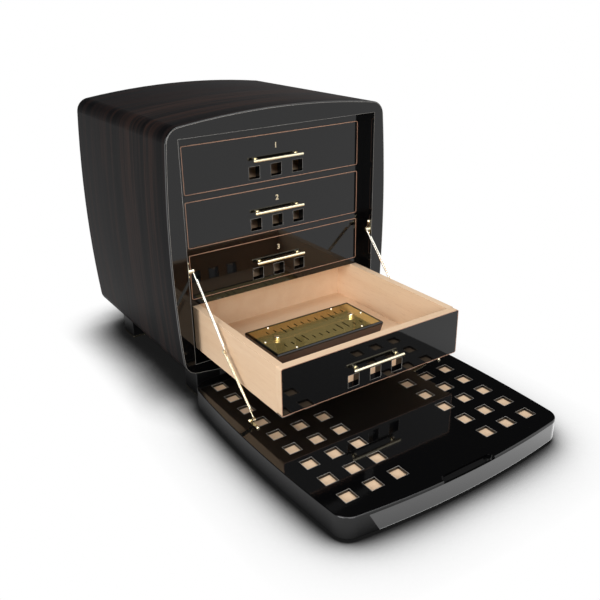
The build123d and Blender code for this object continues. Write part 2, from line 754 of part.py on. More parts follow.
def drawer(index, y):
    """Drawer number index with the face of its front at y."""
    bottom = drawer_bottom(index)
    middle = bottom + drawer_height / 2
    board_back = y + front_board_thickness
    vents = [(x, vent_rise - drawer_height / 2) for x in vent_columns]

    with BuildPart() as walls:
        with BuildSketch(Plane.XY.offset(bottom)):
            for side in (-1, 1):
                with Locations((side * (drawer_width - drawer_wall) / 2, board_back + inner_length / 2)):
                    Rectangle(drawer_wall, inner_length)
        extrude(amount=drawer_height)
    side_boards = walls.part.solids()
    with BuildPart() as back:
        with BuildSketch(Plane.XY.offset(bottom)):
            with Locations((0, y + drawer_length - drawer_wall / 2)):
                Rectangle(drawer_width - 2 * drawer_wall, drawer_wall)
        extrude(amount=drawer_height)
    save(Compound([*side_boards, *back.part.solids()]), f"drawer_{index}_walls")

    with BuildPart() as floor:
        with BuildSketch(Plane.XY.offset(bottom)):
            with Locations((0, board_back + (inner_length - drawer_wall) / 2)):
                Rectangle(drawer_width - 2 * drawer_wall, inner_length - drawer_wall)
        extrude(amount=drawer_floor_thickness)
    save(floor.part, f"drawer_{index}_floor")

    with BuildPart() as board:
        with BuildSketch(facing_front(y, middle)):
            RectangleRounded(drawer_width, drawer_height, front_corner_radius)
        extrude(amount=-front_board_thickness)
        with BuildSketch(facing_front(y, middle)):
            RectangleRounded(
                drawer_width - 2 * front_lip, drawer_height - 2 * front_lip, front_corner_radius - front_lip
            )
        extrude(amount=-front_panel_thickness, mode=Mode.SUBTRACT)
        with BuildSketch(facing_front(y, middle)):
            with Locations(*vents):
                Rectangle(window_size + 2 * vent_wall, window_size + 2 * vent_wall)
        extrude(amount=-front_board_thickness, mode=Mode.SUBTRACT)
    save(board.part, f"drawer_{index}_front_board")

    with BuildPart() as panel:
        with BuildSketch(facing_front(y, middle)):
            RectangleRounded(
                drawer_width - 2 * front_lip, drawer_height - 2 * front_lip, front_corner_radius - front_lip
            )
        extrude(amount=-front_panel_thickness)
        with BuildSketch(facing_front(y, middle)):
            with Locations(*vents):
                Rectangle(window_size + 2 * vent_wall, window_size + 2 * vent_wall)
        extrude(amount=-front_board_thickness)
        with BuildSketch(facing_front(y, middle)):
            with Locations(*vents):
                Rectangle(window_size, window_size)
        extrude(amount=-front_board_thickness, mode=Mode.SUBTRACT)
    save(panel.part, f"drawer_{index}_front_panel")

    post_x = handle_length / 2 - handle_post_inset
    with BuildPart() as handle:
        with BuildSketch(Plane.YZ.offset(-handle_length / 2)):
            with Locations((y - handle_standoff, middle)):
                Circle(handle_diameter / 2)
        extrude(amount=handle_length)
        ends = handle.faces().filter_by(Axis.X).edges()
        fillet(ends, radius=handle_end_round)
        with BuildSketch(facing_front(y, middle)):
            with Locations((-post_x, 0), (post_x, 0)):
                Circle(handle_post_diameter / 2)
        extrude(amount=handle_standoff)
        with BuildSketch(facing_front(y, middle)):
            with Locations((-post_x, 0), (post_x, 0)):
                Circle(handle_collar_diameter / 2)
        extrude(amount=handle_collar_thickness)
    save(handle.part, f"drawer_{index}_handle")


for index in range(1, drawer_count):
    drawer(index, closed_front_y)
open_front_y = closed_front_y - drawer_4_out
drawer(drawer_count, open_front_y)

# Humidifier: a tapered base with a wet pad, a bevelled rim, and a slotted brass plate on top
humidifier_y = open_front_y + humidifier_back
base_z = drawer_bottom(drawer_count) + drawer_floor_thickness + humidifier_gap
rim_z = base_z + base_height
grille_z = rim_z + rim_height - grille_setback - grille_thickness
grille_top = grille_z + grille_thickness
grille_length = humidifier_length - 2 * rim_width
grille_width = humidifier_width - 2 * rim_width


def over_humidifier(z):
    return Plane(origin=(humidifier_x, humidifier_y, z))


with BuildPart() as humidifier_base:
    with BuildSketch(over_humidifier(base_z)):
        RectangleRounded(
            humidifier_length - 2 * base_draw, humidifier_width - 2 * base_draw, base_corner_radius
        )
    with BuildSketch(over_humidifier(rim_z)):
        RectangleRounded(humidifier_length, humidifier_width, base_corner_radius)
    loft()
    with BuildSketch(over_humidifier(base_z + base_floor)):
        Rectangle(grille_length - 2 * base_wall, grille_width - 2 * base_wall)
    extrude(amount=base_height - base_floor, mode=Mode.SUBTRACT)
save(humidifier_base.part, "humidifier_base")

with BuildPart() as humidifier_rim:
    with BuildSketch(over_humidifier(rim_z)):
        RectangleRounded(humidifier_length, humidifier_width, base_corner_radius)
    extrude(amount=rim_height)
    chamfer(humidifier_rim.faces().sort_by(Axis.Z)[-1].edges(), length=rim_bevel)
    with BuildSketch(over_humidifier(grille_z)):
        Rectangle(grille_length, grille_width)
    extrude(amount=rim_height, mode=Mode.SUBTRACT)
    with BuildSketch(over_humidifier(rim_z)):
        Rectangle(grille_length - 2 * base_wall, grille_width - 2 * base_wall)
    extrude(amount=rim_height, mode=Mode.SUBTRACT)
save(humidifier_rim.part, "humidifier_rim")

with BuildPart() as humidifier_grille:
    with BuildSketch(over_humidifier(grille_z)):
        Rectangle(grille_length, grille_width)
        for column in range(slots_per_row):
            length = long_slot_length if column in long_slots else slot_length
            x = (column - (slots_per_row - 1) / 2) * slot_pitch
            for row in (-1, 1):
                with Locations((x, row * (slot_outer_end - length / 2))):
                    SlotOverall(length, slot_width, rotation=90, mode=Mode.SUBTRACT)
    extrude(amount=grille_thickness)
save(humidifier_grille.part, "humidifier_grille")

with BuildPart() as humidifier_pad:
    with BuildSketch(over_humidifier(base_z + base_floor)):
        Rectangle(grille_length - 2 * base_wall - pad_margin, grille_width - 2 * base_wall - pad_margin)
    extrude(amount=grille_z - base_z - base_floor - pad_gap)
save(humidifier_pad.part, "humidifier_pad")

with BuildPart() as humidifier_knobs:
    for side in (-1, 1):
        centre_x = humidifier_x + side * knob_spacing / 2
        foot = (centre_x, humidifier_y, grille_top)
        with BuildSketch(Plane(origin=foot, x_dir=(1, 0, 0), z_dir=(0, -1, 0))):
            with BuildLine():
                Polyline(
                    (0, knob_height),
                    (0, 0),
                    (knob_radius, 0),
                    (knob_radius, knob_foot_height),
                    (knob_waist_radius, knob_foot_height),
                    (knob_waist_radius, knob_height - knob_cap_height),
                    (knob_radius, knob_height - knob_cap_height),
                    (knob_radius, knob_height - knob_crown),
                )
                crown_radius = (knob_radius**2 + knob_crown**2) / (2 * knob_crown)
                RadiusArc((knob_radius, knob_height - knob_crown), (0, knob_height), -crown_radius)
            make_face()
        revolve(axis=Axis(foot, (0, 0, 1)))
save(humidifier_knobs.part, "humidifier_knobs")

with BuildPart() as grille_screws:
    with Locations(
        *[(humidifier_x + x, humidifier_y + y, grille_top) for x, y in grille_screw_spots]
    ):
        Sphere(grille_screw_radius)
    with BuildSketch(over_humidifier(grille_top)):
        Rectangle(humidifier_length, humidifier_width)
    extrude(amount=-grille_screw_radius, mode=Mode.SUBTRACT)
save(grille_screws.part, "humidifier_screws")
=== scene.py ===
import math

import bpy
from mathutils import Matrix, Vector


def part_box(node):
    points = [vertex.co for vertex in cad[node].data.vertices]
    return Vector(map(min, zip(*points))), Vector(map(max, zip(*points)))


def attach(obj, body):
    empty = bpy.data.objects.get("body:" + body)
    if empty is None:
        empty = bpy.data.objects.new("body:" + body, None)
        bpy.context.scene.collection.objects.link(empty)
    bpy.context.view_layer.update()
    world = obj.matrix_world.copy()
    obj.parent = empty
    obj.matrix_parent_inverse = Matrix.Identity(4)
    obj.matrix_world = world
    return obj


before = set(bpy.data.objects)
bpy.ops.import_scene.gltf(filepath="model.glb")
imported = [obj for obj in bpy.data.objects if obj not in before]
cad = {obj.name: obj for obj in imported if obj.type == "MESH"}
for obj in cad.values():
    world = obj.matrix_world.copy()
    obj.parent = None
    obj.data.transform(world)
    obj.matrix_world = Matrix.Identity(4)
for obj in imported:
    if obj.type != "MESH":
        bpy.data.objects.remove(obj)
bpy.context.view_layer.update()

# The view: a camera a little above the cabinet, at its left front corner.
# Its place is in metres in the cabinet's frame, and its lens covers a square picture.
camera_place = Vector((-0.5635, -0.8439, 0.5663))
camera_azimuth = -32.921
camera_elevation = 23.806
camera_roll = -1.363
picture_side = 600
focal_pixels = 732.77
centre_pixel = (286.97, 303.98)
sensor_width = 36.0

camera_data = bpy.data.cameras.new("camera")
camera_data.sensor_width = sensor_width
camera_data.lens = focal_pixels / picture_side * sensor_width
camera_data.shift_x = (picture_side / 2 - centre_pixel[0]) / picture_side
camera_data.shift_y = (centre_pixel[1] - picture_side / 2) / picture_side
camera = bpy.data.objects.new("camera", camera_data)
bpy.context.scene.collection.objects.link(camera)
camera.matrix_world = (
    Matrix.Translation(camera_place)
    @ Matrix.Rotation(math.radians(camera_azimuth), 4, "Z")
    @ Matrix.Rotation(math.radians(90 - camera_elevation), 4, "X")
    @ Matrix.Rotation(math.radians(camera_roll), 4, "Z")
)
bpy.context.scene.camera = camera

# The outer shell: thin plywood bent round the whole girth and faced with striped ebony veneer.
# The stripes run round the girth, up the sides and across the top, under a satin varnish.
ebony_dark = (0.0030, 0.0030, 0.0035, 1)
ebony_mid = (0.0085, 0.0075, 0.0078, 1)
ebony_brown = (0.0250, 0.0150, 0.0125, 1)
ebony_shaded = (0.55, 0.55, 0.6, 1)
ebony_lightened = (1.25, 1.15, 1.1, 1)
stripes_per_metre = (1.6, 70.0, 1.6)
stripe_steps = ((0.40, ebony_dark), (0.49, ebony_mid), (0.56, ebony_brown), (0.64, ebony_mid))
bands_per_metre = (1.2, 9.0, 1.2)
band_steps = ((0.38, ebony_shaded), (0.62, ebony_lightened))
ebony_pores_per_metre = (14.0, 900.0, 14.0)
ebony_pore_steps = ((0.35, ebony_dark), (0.6, ebony_mid))
ebony_pore_share = 0.22
ebony_relief = 0.12
ebony_depth = 0.0002
ebony_roughness = 0.34
ebony_smoother = 0.06
ebony_rougher = 0.08
ebony_gloss = 0.02
mid_grey = (0.5, 0.5, 0.5, 1)


def finish(name, roughness, metallic=0.0, colour=mid_grey, ior=1.5):
    """A new material with its surface node's plain values set."""
    material = bpy.data.materials.new(name)
    material.use_nodes = True
    surface = material.node_tree.nodes["Principled BSDF"]
    surface.inputs["Base Color"].default_value = colour
    surface.inputs["Metallic"].default_value = metallic
    surface.inputs["Roughness"].default_value = roughness
    surface.inputs["IOR"].default_value = ior
    return material


def add(material, kind, **values):
    """Adds a node to a material or world and sets its properties and plain inputs by name."""
    node = material.node_tree.nodes.new(kind)
    for name, value in values.items():
        if hasattr(node, name):
            setattr(node, name, value)
        else:
            node.inputs[name].default_value = value
    return node


def join(material, output, socket):
    material.node_tree.links.new(output, socket)


def surface_of(material):
    return material.node_tree.nodes["Principled BSDF"]


def noise(material, stretch, detail=4.0, roughness=0.5, distortion=0.0, vector=None):
    """Noise on the piece's own coordinates, with its cells per metre along each axis."""
    place = vector or add(material, "ShaderNodeTexCoord").outputs["Object"]
    mapping = add(material, "ShaderNodeMapping")
    mapping.inputs["Scale"].default_value = stretch
    join(material, place, mapping.inputs["Vector"])
    texture = add(material, "ShaderNodeTexNoise")
    texture.inputs["Scale"].default_value = 1.0
    texture.inputs["Detail"].default_value = detail
    texture.inputs["Roughness"].default_value = roughness
    texture.inputs["Distortion"].default_value = distortion
    join(material, mapping.outputs["Vector"], texture.inputs["Vector"])
    return texture.outputs["Fac"]


def ramp(material, factor, *stops):
    """Colours along a factor, each stop a position and a colour."""
    node = add(material, "ShaderNodeValToRGB")
    join(material, factor, node.inputs["Fac"])
    elements = node.color_ramp.elements
    while len(elements) < len(stops):
        elements.new(0.5)
    for element, (position, colour) in zip(elements, stops):
        element.position = position
        element.color = colour
    return node.outputs["Color"]


def spread(material, factor, low, high, socket):
    """Sends a 0 to 1 factor to a socket as low to high."""
    node = add(material, "ShaderNodeMapRange")
    node.inputs["To Min"].default_value = low
    node.inputs["To Max"].default_value = high
    join(material, factor, node.inputs["Value"])
    join(material, node.outputs["Result"], socket)


def relief(material, height, strength, depth, round_edges=0.0):
    """Bump from a height, over edges that are softened by a small radius."""
    bump = add(material, "ShaderNodeBump")
    bump.inputs["Strength"].default_value = strength
    bump.inputs["Distance"].default_value = depth
    join(material, height, bump.inputs["Height"])
    if round_edges:
        edge = add(material, "ShaderNodeBevel")
        edge.samples = 4
        edge.inputs["Radius"].default_value = round_edges
        join(material, edge.outputs["Normal"], bump.inputs["Normal"])
    join(material, bump.outputs["Normal"], surface_of(material).inputs["Normal"])


def mixed(material, factor, first, second, blend="MIX"):
    """A mix of two colours, each a node's output or a plain colour."""
    node = add(material, "ShaderNodeMix", data_type="RGBA", blend_type=blend)
    for socket, value in ((node.inputs[0], factor), (node.inputs[6], first), (node.inputs[7], second)):
        if isinstance(value, bpy.types.NodeSocket):
            join(material, value, socket)
        else:
            socket.default_value = value
    return node.outputs[2]


def paint(material, *names):
    """Gives each of these CAD nodes the material in its one slot."""
    for name in names:
        mesh = cad[name].data
        mesh.materials.clear()
        mesh.materials.append(material)


ebony = finish("ebony_veneer", ebony_roughness)
surface_of(ebony).inputs["Specular IOR Level"].default_value = ebony_gloss
stripes = noise(ebony, stripes_per_metre, detail=6, roughness=0.66, distortion=0.3)
broad = noise(ebony, bands_per_metre, detail=2)
pores = noise(ebony, ebony_pores_per_metre, detail=2)
stripe_colour = ramp(ebony, stripes, *stripe_steps)
tone = ramp(ebony, broad, *band_steps)
toned = mixed(ebony, 1.0, stripe_colour, tone, blend="MULTIPLY")
pore_colour = ramp(ebony, pores, *ebony_pore_steps)
veneer_colour = mixed(ebony, ebony_pore_share, toned, pore_colour)
join(ebony, veneer_colour, surface_of(ebony).inputs["Base Color"])
smoothest = ebony_roughness - ebony_smoother
roughest = ebony_roughness + ebony_rougher
spread(ebony, stripes, smoothest, roughest, surface_of(ebony).inputs["Roughness"])
relief(ebony, pores, ebony_relief, ebony_depth)
paint(ebony, "outer_shell")

# The front rim, the frame round the drawers, the back and the feet: wood under many coats of
# black lacquer, rubbed out and polished to a deep gloss, with a trace of orange peel left.
lacquer_black = (0.0018, 0.0018, 0.0020, 1)
lacquer_roughness = 0.045
lacquer_ior = 1.52
lacquer_ripple = 0.03
ripple_depth = 0.0004
ripples_per_metre = (110.0, 110.0, 110.0)
haze_per_metre = (9.0, 9.0, 9.0)
haze_least = 0.7
haze_most = 1.7
satin_roughness = 0.28
satin_ripple = 0.08


def lacquer(name, roughness=lacquer_roughness, ripple=lacquer_ripple, colour=lacquer_black):
    """Lacquer with a faint haze in its gloss and a faint ripple in its surface."""
    material = finish(name, roughness, colour=colour, ior=lacquer_ior)
    gloss = surface_of(material).inputs["Roughness"]
    ripples = noise(material, ripples_per_metre, detail=2)
    haze = noise(material, haze_per_metre, detail=5)
    spread(material, haze, roughness * haze_least, roughness * haze_most, gloss)
    relief(material, ripples, ripple, ripple_depth)
    return material


black_lacquer = lacquer("black_lacquer")
paint(black_lacquer, "front_frame", "face_frame")
satin_lacquer = lacquer("satin_black_lacquer", roughness=satin_roughness, ripple=satin_ripple)
paint(satin_lacquer, "rear_panel", "feet")

# The carcass: planed boards of solid cedar, left bare inside so that they scent the cigars.
# Straight even grain with fine dark pores, along each board's length.
cedar_pale = (0.800, 0.590, 0.400, 1)
cedar_peach = (0.720, 0.485, 0.300, 1)
cedar_pore = (0.470, 0.250, 0.130, 1)
rings_across = 38.0
rings_along = 1.6
ring_steps = ((0.30, cedar_peach), (0.62, cedar_pale))
fibres_across = 900.0
fibres_along = 16.0
fibre_steps = ((0.25, cedar_peach), (0.60, cedar_pale))
fibre_share = 0.45
fibre_relief = 0.25
fibre_depth = 0.00015
pores_across = 1500.0
pores_along = 60.0
cedar_pore_steps = ((0.27, (1, 1, 1, 1)), (0.36, (0, 0, 0, 1)))
cedar_pore_share = 0.35
cedar_roughness = 0.62
cedar_smoothest = 0.52
cedar_roughest = 0.72
cedar_edge = 0.0006


def cedar(name, grain, end_place=None):
    """Bare cedar with its grain along X or Y, or along X behind end_place on Y."""
    material = finish(name, cedar_roughness)
    place = add(material, "ShaderNodeTexCoord").outputs["Object"]
    if end_place is not None:
        split = add(material, "ShaderNodeSeparateXYZ")
        join(material, place, split.inputs["Vector"])
        behind = add(material, "ShaderNodeMath", operation="GREATER_THAN")
        join(material, split.outputs["Y"], behind.inputs[0])
        behind.inputs[1].default_value = end_place
        turned = add(material, "ShaderNodeCombineXYZ")
        join(material, split.outputs["Y"], turned.inputs["X"])
        join(material, split.outputs["X"], turned.inputs["Y"])
        join(material, split.outputs["Z"], turned.inputs["Z"])
        place = mixed(material, behind.outputs["Value"], place, turned.outputs["Vector"])

    def grained(across, along):
        return tuple(along if axis == grain else across for axis in "XYZ")

    bands = noise(material, grained(rings_across, rings_along), detail=3, distortion=0.4, vector=place)
    fibres = noise(material, grained(fibres_across, fibres_along), detail=3, vector=place)
    pores = noise(material, grained(pores_across, pores_along), detail=1, vector=place)
    base = ramp(material, bands, *ring_steps)
    fine = ramp(material, fibres, *fibre_steps)
    wood = mixed(material, fibre_share, base, fine)
    dark = ramp(material, pores, *cedar_pore_steps)
    level = add(material, "ShaderNodeMath", operation="MULTIPLY")
    join(material, dark, level.inputs[0])
    level.inputs[1].default_value = cedar_pore_share
    pored = mixed(material, level.outputs["Value"], wood, cedar_pore)
    join(material, pored, surface_of(material).inputs["Base Color"])
    spread(material, fibres, cedar_smoothest, cedar_roughest, surface_of(material).inputs["Roughness"])
    relief(material, fibres, fibre_relief, fibre_depth, round_edges=cedar_edge)
    return material


cedar_along_x = cedar("cedar_boards_across", "X")
cedar_along_y = cedar("cedar_boards_lengthwise", "Y")
paint(cedar_along_y, "left_cheek", "right_cheek", "top_board", "floor_board")
paint(cedar_along_y, "shelf_1", "shelf_2", "shelf_3")

# The drawers: cedar sides, back and floor behind a cedar front board. The floor is let in
# between the walls, and the grain turns the corner with each board.
drawer_numbers = (1, 2, 3, 4)
back_wall = 0.0105
for number in drawer_numbers:
    walls = f"drawer_{number}_walls"
    back_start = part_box(walls)[1].y - back_wall
    paint(cedar(f"cedar_drawer_{number}_walls", "Y", end_place=back_start), walls)
    paint(cedar_along_x, f"drawer_{number}_floor")

# The front boards: cedar like the rest, whose narrow rim round the black face is stained copper
# brown and varnished, so that it draws a fine line round each drawer.
rim_brown = (0.520, 0.290, 0.195, 1)
rim_facing = 0.9
bare_roughness = 0.6
rim_roughness = 0.22


def facing_below(material, axis, limit):
    """One where the surface's normal along an axis is under a limit, and nothing elsewhere."""
    normal = add(material, "ShaderNodeNewGeometry").outputs["Normal"]
    parts = add(material, "ShaderNodeSeparateXYZ")
    join(material, normal, parts.inputs["Vector"])
    below = add(material, "ShaderNodeMath", operation="LESS_THAN")
    join(material, parts.outputs[axis], below.inputs[0])
    below.inputs[1].default_value = limit
    return below.outputs["Value"]


def recolour(material, where, colour):
    """Lays a plain colour over the material's own, where a factor is one."""
    base = surface_of(material).inputs["Base Color"]
    join(material, mixed(material, where, base.links[0].from_socket, colour), base)


front_cedar = cedar("cedar_front_board", "X")
forward = facing_below(front_cedar, "Y", -rim_facing)
recolour(front_cedar, forward, rim_brown)
front_gloss = surface_of(front_cedar).inputs["Roughness"]
spread(front_cedar, forward, bare_roughness, rim_roughness, front_gloss)
paint(front_cedar, *[f"drawer_{number}_front_board" for number in drawer_numbers])

# The drawer faces: thin lacquered panels let into the front boards. Three square vents in each
# are lined with the same panel, right through the board.
face_roughness = 0.035
front_lacquer = lacquer("drawer_front_lacquer", roughness=face_roughness)
paint(front_lacquer, *[f"drawer_{number}_front_panel" for number in drawer_numbers])

# The numbers of the three closed drawers: small gilt figures printed on the lacquer.
# Each is a thin flat shape on the face of its drawer, a little above the handle.
type_size_to_height = 1.42
number_height = 0.0078
number_boldness = 0.00022
number_rise = 0.0164
number_thickness = 0.00004
gilt = (0.80, 0.68, 0.46, 1)
gilt_metal = 0.2
gilt_roughness = 0.42
gilt_smoothest = 0.32
gilt_roughest = 0.5
grit_per_metre = (4000.0, 4000.0, 4000.0)
gilt_print = finish("gilt_print", gilt_roughness, colour=gilt, metallic=gilt_metal)
grit = noise(gilt_print, grit_per_metre, detail=1)
spread(gilt_print, grit, gilt_smoothest, gilt_roughest, surface_of(gilt_print).inputs["Roughness"])
for number in drawer_numbers[:3]:
    text = bpy.data.curves.new(f"drawer_{number}_figure", "FONT")
    text.body = str(number)
    text.size = number_height * type_size_to_height
    text.align_x = "CENTER"
    text.align_y = "CENTER"
    text.extrude = number_thickness
    text.offset = number_boldness
    typed = bpy.data.objects.new("typed", text)
    bpy.context.scene.collection.objects.link(typed)
    bpy.context.view_layer.update()
    letter = typed.evaluated_get(bpy.context.evaluated_depsgraph_get())
    figure_mesh = bpy.data.meshes.new_from_object(letter)
    bpy.data.objects.remove(typed)
    low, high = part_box(f"drawer_{number}_front_panel")
    place = Vector((0, low.y - number_thickness, (low.z + high.z) / 2 + number_rise))
    figure_mesh.transform(Matrix.Translation(place) @ Matrix.Rotation(math.pi / 2, 4, "X"))
    figure_mesh.materials.clear()
    figure_mesh.materials.append(gilt_print)
    figure = bpy.data.objects.new(f"drawer_{number}_figure", figure_mesh)
    bpy.context.scene.collection.objects.link(figure)
    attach(figure, f"drawer_{number}")

# The door: a thick lacquered core with a lacquered plate on its inner face. Square windows in
# the plate show the cedar liner below it, and a scoop in the far edge takes a fingertip.
door_roughness = 0.05
door_lacquer = lacquer("door_lacquer", roughness=door_roughness)
paint(door_lacquer, "door_core", "door_plate")
paint(cedar_along_x, "door_liner")

# The polished arrises of the lacquered parts: every sharp edge is broken by hand and buffed.
# They are swept along the edges of the openings in a grey lacquer, a painted highlight that draws a fine
# bright line.
arris_radius = 0.00032
arris_highlight_grey = (0.210, 0.200, 0.185, 1)
arris_roughness = 0.12
arris_sides = 6
window_pitch = 0.0372
window_size = 0.0185
window_rows = 9
window_columns = (-4, -3, -2, 2, 3, 4)
vent_rise = 0.0155
vent_columns = (-1, 0, 1)


def arris_tree():
    """Sweeps a small round section along the edges of a mesh and gives it a material."""
    tree = bpy.data.node_groups.new("polished_arris", "GeometryNodeTree")
    tree.interface.new_socket("Geometry", in_out="INPUT", socket_type="NodeSocketGeometry")
    radius = tree.interface.new_socket("Radius", in_out="INPUT", socket_type="NodeSocketFloat")
    sides = tree.interface.new_socket("Sides", in_out="INPUT", socket_type="NodeSocketInt")
    coating = tree.interface.new_socket("Material", in_out="INPUT", socket_type="NodeSocketMaterial")
    tree.interface.new_socket("Geometry", in_out="OUTPUT", socket_type="NodeSocketGeometry")
    new = tree.nodes.new
    inputs = new("NodeGroupInput")
    outputs = new("NodeGroupOutput")
    path = new("GeometryNodeMeshToCurve")
    section = new("GeometryNodeCurvePrimitiveCircle")
    sweep = new("GeometryNodeCurveToMesh")
    smooth = new("GeometryNodeSetShadeSmooth")
    realize = new("GeometryNodeRealizeInstances")
    coat = new("GeometryNodeSetMaterial")
    link = tree.links.new
    link(inputs.outputs["Geometry"], path.inputs["Mesh"])
    link(inputs.outputs["Radius"], section.inputs["Radius"])
    link(inputs.outputs["Sides"], section.inputs["Resolution"])
    link(path.outputs["Curve"], sweep.inputs["Curve"])
    link(section.outputs["Curve"], sweep.inputs["Profile Curve"])
    link(sweep.outputs["Mesh"], smooth.inputs["Geometry"])
    link(smooth.outputs["Geometry"], realize.inputs["Geometry"])
    link(realize.outputs["Geometry"], coat.inputs["Geometry"])
    link(inputs.outputs["Material"], coat.inputs["Material"])
    link(coat.outputs["Geometry"], outputs.inputs["Geometry"])
    return tree, {"radius": radius.identifier, "sides": sides.identifier, "material": coating.identifier}


def made_plain(thing):
    """The evaluated shape of an object as a plain mesh at the origin, with its modifiers gone."""
    bpy.context.view_layer.update()
    finished = thing.evaluated_get(bpy.context.evaluated_depsgraph_get())
    shape = bpy.data.meshes.new_from_object(finished)
    name = thing.name
    bpy.data.objects.remove(thing)
    plain = bpy.data.objects.new(name, shape)
    bpy.context.scene.collection.objects.link(plain)
    return plain


arris, arris_inputs = arris_tree()
# The arrises' lacquer is grey, not black: a painted highlight along each edge.
arris_painted_highlight = lacquer("arris_painted_highlight", roughness=arris_roughness, colour=arris_highlight_grey)


def square(centre, width, height, across, up):
    """The four corners of a rectangle round a centre."""
    return [
        centre + across * (sx * width / 2) + up * (sy * height / 2)
        for sx, sy in ((-1, -1), (1, -1), (1, 1), (-1, 1))
    ]


def sweep_arrises(name, loops, body):
    """Makes one piece of the arrises along closed loops of points, and lets it ride a body."""
    points = [corner for loop in loops for corner in loop]
    edges = []
    for index, loop in enumerate(loops):
        first = sum(len(earlier) for earlier in loops[:index])
        edges += [(first + step, first + (step + 1) % len(loop)) for step in range(len(loop))]
    outline = bpy.data.meshes.new(name)
    outline.from_pydata(points, edges, [])
    piece = bpy.data.objects.new(name, outline)
    bpy.context.scene.collection.objects.link(piece)
    modifier = piece.modifiers.new("arris", "NODES")
    modifier.node_group = arris
    modifier[arris_inputs["radius"]] = arris_radius
    modifier[arris_inputs["sides"]] = arris_sides
    modifier[arris_inputs["material"]] = arris_painted_highlight
    piece = made_plain(piece)
    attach(piece, body)


x_axis = Vector((1, 0, 0))
y_axis = Vector((0, 1, 0))
z_axis = Vector((0, 0, 1))
liner_low, liner_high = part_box("door_liner")
plate_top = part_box("door_plate")[1].z
grid_centre = (liner_low + liner_high) / 2
windows = [
    square(
        Vector((
            grid_centre.x + column * window_pitch,
            grid_centre.y + (row - (window_rows - 1) / 2) * window_pitch,
            plate_top,
        )),
        window_size, window_size, x_axis, y_axis,
    )
    for column in window_columns
    for row in range(window_rows)
]
sweep_arrises("door_window_arrises", windows, "door")
for number in drawer_numbers:
    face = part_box(f"drawer_{number}_front_panel")[0].y
    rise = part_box(f"drawer_{number}_front_board")[0].z + vent_rise
    vents = [
        square(Vector((column * window_pitch, face, rise)), window_size, window_size, x_axis, z_axis)
        for column in vent_columns
    ]
    sweep_arrises(f"drawer_{number}_front_arrises", vents, f"drawer_{number}")

# The arrises of the front rim: one round the mouth of the recess, and one round the bowed
# outline, where the lacquered face turns over towards the veneered shell.
recess_width = 0.326
recess_height = 0.327
rim_round = 0.0012
rim_side_bow = 0.0083
rim_top_bow = 0.0129
corner_cut = 0.0163
corner_pull = 0.786
arc_steps = 24
corner_steps = 8
rim_low, rim_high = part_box("front_frame")
mouth_centre = Vector((0, rim_low.y, (rim_low.z + rim_high.z) / 2))
mouth = square(mouth_centre, recess_width, recess_height, x_axis, z_axis)
half_width = rim_high.x - rim_round
half_height = (rim_high.z - rim_low.z) / 2 - rim_round
corner = Vector((half_width - rim_side_bow, half_height - rim_top_bow))


def on_top(x):
    """A point of the bowed top edge of the outline."""
    return Vector((x, half_height - rim_top_bow * (x / corner.x) ** 2))


def on_side(z):
    """A point of the bowed right edge of the outline."""
    return Vector((half_width - rim_side_bow * (z / corner.y) ** 2, z))


quarter = [on_top((corner.x - corner_cut) * step / arc_steps) for step in range(arc_steps + 1)]
start = quarter[-1]
end = on_side(corner.y - corner_cut)
for step in range(1, corner_steps):
    along = step / corner_steps
    shares = ((1 - along) ** 2, 2 * along * (1 - along) * corner_pull, along ** 2)
    quarter.append((start * shares[0] + corner * shares[1] + end * shares[2]) / sum(shares))
quarter += [on_side((corner.y - corner_cut) * (1 - step / arc_steps)) for step in range(arc_steps + 1)]
outline = []
for side, level, order in ((1, 1, 1), (1, -1, -1), (-1, -1, 1), (-1, 1, -1)):
    outline += [mouth_centre + Vector((side * spot.x, 0, level * spot.y)) for spot in quarter[::order]][1:]
# Both loops carry the grey painted highlight of the arrises.
sweep_arrises("rim_arrises", [mouth, outline], "cabinet")

# The bar handles, hinges, stays and their brackets and pins: turned and pressed brass, polished
# and clear coated. The upper arms are coloured whiter than the rest, a painted reflection of the white
# room.
brass_gold = (0.940, 0.850, 0.620, 1)
brass_whitened_reflection = (0.950, 0.920, 0.830, 1)
brass_roughness = 0.2
pale_roughness = 0.22
brass_mottle = 0.04
mottle_fall = 3
mottle_from = 0.3
mottle_to = 0.6
tarnish_per_metre = (60.0, 60.0, 60.0)
smears_per_metre = (240.0, 240.0, 240.0)
smear_least = 0.8
smear_most = 1.25
smear_relief = 0.006
smear_depth = 0.00004


def brass(name, colour, roughness, metallic=1.0, mottle=brass_mottle):
    """Polished metal, slightly duller in spots, with faint smears in its gloss."""
    material = finish(name, roughness, metallic=metallic, colour=colour)
    surface = surface_of(material)
    tarnish = noise(material, tarnish_per_metre, detail=4)
    duller = tuple(channel * (1 - mottle * mottle_fall) for channel in colour[:3]) + (1,)
    mottled = ramp(material, tarnish, (mottle_from, duller), (mottle_to, colour))
    join(material, mottled, surface.inputs["Base Color"])
    smears = noise(material, smears_per_metre, detail=2)
    spread(material, smears, roughness * smear_least, roughness * smear_most, surface.inputs["Roughness"])
    relief(material, smears, smear_relief, smear_depth)
    return material


polished_brass = brass("polished_brass", brass_gold, brass_roughness)
reflection_whitened_brass = brass("brass_painted_reflection", brass_whitened_reflection, pale_roughness)
paint(polished_brass, *[f"drawer_{number}_handle" for number in drawer_numbers])
paint(
    polished_brass, "cabinet_hinge_leaves", "door_hinge_leaves", "hinge_pins", "foot_screws", "foot_soles",
    "left_stay_bracket", "right_stay_bracket", "left_door_bracket", "right_door_bracket",
    "stay_cabinet_pins", "stay_door_pins", "cabinet_bracket_screws", "door_bracket_screws",
)
# The upper arms' whiter colour is a painted reflection of the white room.
paint(reflection_whitened_brass, "left_stay_upper_arm", "right_stay_upper_arm")
paint(polished_brass, "left_stay_lower_arm", "right_stay_lower_arm")
